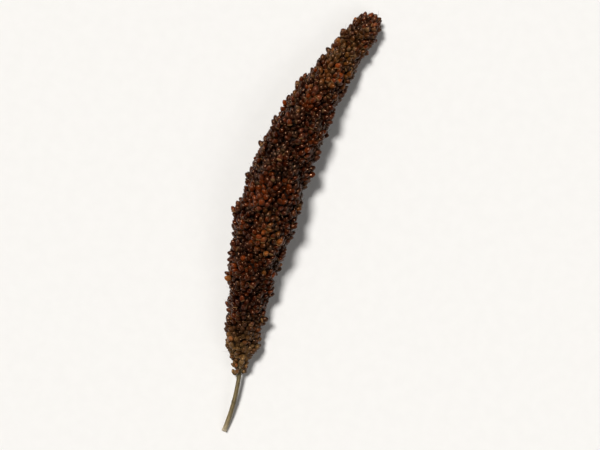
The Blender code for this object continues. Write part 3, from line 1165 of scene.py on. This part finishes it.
class MILLET_OT_stalk(bpy.types.Operator):
    """Builds the ribbed dry stalk with its scars and its cut end"""

    bl_idname = "millet.stalk"
    bl_label = "Stalk"

    def execute(self, context):
        segments = context.scene.millet_stalk.segments
        levels = np.linspace(1.0, -STALK_SUNK / STALK_LENGTH, STALK_RINGS)
        turns = np.arange(segments) * math.tau / segments
        rings = self.rings(levels, turns)
        fibres = FIBRE_SHARE * np.concatenate([[1.0] * len(PITH_SHARES), levels])[:, None]
        local = np.stack(np.broadcast_arrays(np.cos(turns), np.sin(turns), fibres), -1)
        form = local.reshape(-1, 3), tube_faces(len(rings), segments)
        plain, shade = np.ones((1, 3)), self.colours(levels, turns)
        piece = {"slot": "dry_stalk", "replaced": ("stalk",)}
        add_copies("stalk_straw", straw_material(), rings.reshape(1, -1, 3), form, plain, shade, **piece)
        return {"FINISHED"}

    def rings(self, levels, turns):
        """The stalk's rings of points, from the middle of its slanted cut to its buried end."""
        line = np.array([stalk_point(t) for t in levels])
        forward = unit(np.gradient(line, axis=0))
        side = unit(np.cross(forward, np.array([0.0, 0.0, 1.0])))
        above = np.cross(side, forward)
        out = side[:, None] * np.cos(turns)[:, None] + above[:, None] * np.sin(turns)[:, None]
        rings = line[:, None] + out * self.reach(levels, turns)[:, :, None]
        near = np.exp(-(1 - np.clip(levels, 0, 1)) * STALK_LENGTH / SLANT_REACH)
        back = CUT_SLANT * near[:, None] * (0.3 + np.sin(turns))
        rings = rings + back[:, :, None] * forward[:, None]
        rings[:, :, 2] = np.maximum(rings[:, :, 2], TABLE_GAP)
        inset = forward[0] * np.array(PITH_INSETS)[:, None]
        middle = rings[0].mean(axis=0)
        pith = middle + (rings[0] - middle) * np.array(PITH_SHARES)[:, None, None]
        return np.concatenate([pith + inset[:, None], rings])

    def reach(self, levels, turns):
        """The stalk's radius: fibre ribs, joints, small scars and a slight flare at the cut."""
        t = np.clip(levels, 0, 1)[:, None]
        radius = STALK_TOP_RADIUS + (STALK_CUT_RADIUS - STALK_TOP_RADIUS) * t
        ribs = 0.050 * np.abs(np.sin(5.5 * turns + 0.8 * t)) + 0.020 * np.sin(3 * turns + 5 * t)
        radius = SLIMMING * radius * (1 + ribs + CUT_FLARE * np.exp((t - 1) / FLARE_REACH))
        for at, swelling in STALK_JOINTS:
            radius = radius * (1 + swelling * hill((levels[:, None] - at) / JOINT_REACH))
        for at, degrees, height in STALK_SCARS:
            apart = turn_between(turns, math.radians(degrees))
            along = (levels[:, None] - at) * STALK_LENGTH / SCAR_REACH
            radius = radius + height * hill(along) * hill(apart / SCAR_TURN)
        return radius

    def colours(self, levels, turns):
        """Olive near the head, straw towards the cut end, streaked along the fibres."""
        stalk = bpy.context.scene.millet_stalk
        t = np.clip(levels, 0, 1)[:, None]
        streak = 0.30 + 0.30 * np.sin(5 * turns + 2.2 + t) + 0.25 * np.sin(11 * turns + 4 * t)
        joints = sum(hill((t - at) / STAIN_REACH) for at, _ in STALK_JOINTS)
        stain = streak + 0.45 * (1 - t) + 0.5 * joints
        skin = blend(stalk.straw_colour, stalk.stain_colour, stain.ravel())
        fresh = 0.85 * np.exp(-((1 - t) * STALK_LENGTH / FRESH_REACH)) + 0 * turns
        skin = blend(skin, stalk.pith_colour, fresh.ravel())
        pith = np.repeat(PITH_SHADES, len(turns))[:, None] * np.array(stalk.pith_colour)
        return np.concatenate([pith, skin])


class MILLET_OT_stage(bpy.types.Operator):
    """Builds the floor, the light and the camera"""

    bl_idname = "millet.stage"
    bl_label = "Stage"

    def execute(self, context):
        stage = context.scene.millet_stage
        self.add_floor()
        self.add_light("key", stage.key_strength, stage.key_softness, KEY_DIRECTION)
        self.add_light("fill", stage.fill_strength, stage.fill_softness, FILL_DIRECTION)
        self.add_surroundings()
        self.add_camera()
        context.scene.view_settings.view_transform = "Standard"
        return {"FINISHED"}

    def add_floor(self):
        """A wide pale floor."""
        mesh = bpy.data.meshes.new("floor")
        corners = [(x * FLOOR_REACH, y * FLOOR_REACH, 0.0) for x, y in ((-1, -1), (1, -1), (1, 1), (-1, 1))]
        mesh.from_pydata(corners, [], [(0, 1, 2, 3)])
        mesh.materials.append(floor_material())
        add_object("floor", mesh)

    def add_light(self, name, strength, softness, towards):
        """A soft light from far away."""
        data = bpy.data.lights.new(name, "SUN")
        data.energy = strength
        data.angle = softness
        data.color = LIGHT_COLOUR
        light = add_object(name, data)
        light.rotation_euler = Vector(towards).to_track_quat("-Z", "Y").to_euler()

    def add_surroundings(self):
        """Pale surroundings, brighter at the sides than overhead."""
        stage = bpy.context.scene.millet_stage
        world = bpy.data.worlds.new("surroundings")
        bpy.context.scene.world = world
        world.use_nodes = True
        place = add_node(world, "ShaderNodeTexCoord").outputs["Generated"]
        height = add_node(world, "ShaderNodeSeparateXYZ", Vector=place).outputs["Z"]
        light = ramp(world, height, stage.horizon_light, stage.zenith_light, SKY_LEVELS)
        feed(world, world.node_tree.nodes["Background"], "Color", light)

    def add_camera(self):
        """A camera that looks straight down, turned so that the head leans to the right."""
        stage = bpy.context.scene.millet_stage
        right = np.array([math.cos(stage.lean), math.sin(stage.lean), 0.0])
        up = np.array([-right[1], right[0], 0.0])
        nodes = frame["nodes"].values()
        corners = np.concatenate([[vertex.co for vertex in node.data.vertices] for node in nodes])
        across, along = corners @ right, corners @ up
        middle = right * (across.min() + across.max()) / 2 + up * (along.min() + along.max()) / 2
        height = (along.max() - along.min()) / stage.fill
        data = bpy.data.cameras.new("camera")
        data.lens = LENS
        distance = height * PICTURE_SHAPE * data.lens / data.sensor_width
        camera = add_object("camera", data)
        turn = Matrix((right, up, (0.0, 0.0, 1.0))).transposed().to_4x4()
        camera.matrix_world = Matrix.Translation((middle[0], middle[1], distance)) @ turn
        bpy.context.scene.camera = camera


class MILLET_PT_panel(bpy.types.Panel):
    """The millet seed head's pieces and their settings"""

    bl_idname = "MILLET_PT_panel"
    bl_label = "Millet Seed Head"
    bl_space_type = "VIEW_3D"
    bl_region_type = "UI"
    bl_category = "Millet"

    def draw(self, context):
        for name, group in SETTINGS.items():
            box = self.layout.box()
            box.label(text=group.__doc__)
            for setting in group.__annotations__:
                box.prop(getattr(context.scene, name), setting)
        for operator in OPERATORS:
            self.layout.operator(operator.bl_idname)


SETTINGS = {
    "millet_grains": MilletGrains,
    "millet_husks": MilletHusks,
    "millet_stalk": MilletStalk,
    "millet_stage": MilletStage,
}
OPERATORS = (
    MILLET_OT_core,
    MILLET_OT_grains,
    MILLET_OT_tufts,
    MILLET_OT_bristles,
    MILLET_OT_stalk,
    MILLET_OT_stage,
)


def register():
    for group in (*SETTINGS.values(), *OPERATORS, MILLET_PT_panel):
        bpy.utils.register_class(group)
    for name, group in SETTINGS.items():
        setattr(bpy.types.Scene, name, bpy.props.PointerProperty(type=group))


def unregister():
    for name in SETTINGS:
        delattr(bpy.types.Scene, name)
    for group in (MILLET_PT_panel, *reversed(OPERATORS), *SETTINGS.values()):
        bpy.utils.unregister_class(group)


def main():
    register()
    for old in list(bpy.data.objects):
        if old.name in ("Cube", "Light", "Camera"):
            bpy.data.objects.remove(old)
    bpy.ops.millet.core()
    bpy.ops.millet.grains()
    bpy.ops.millet.tufts()
    bpy.ops.millet.bristles()
    bpy.ops.millet.stalk()
    bpy.ops.millet.stage()


if __name__ == "__main__":
    main()
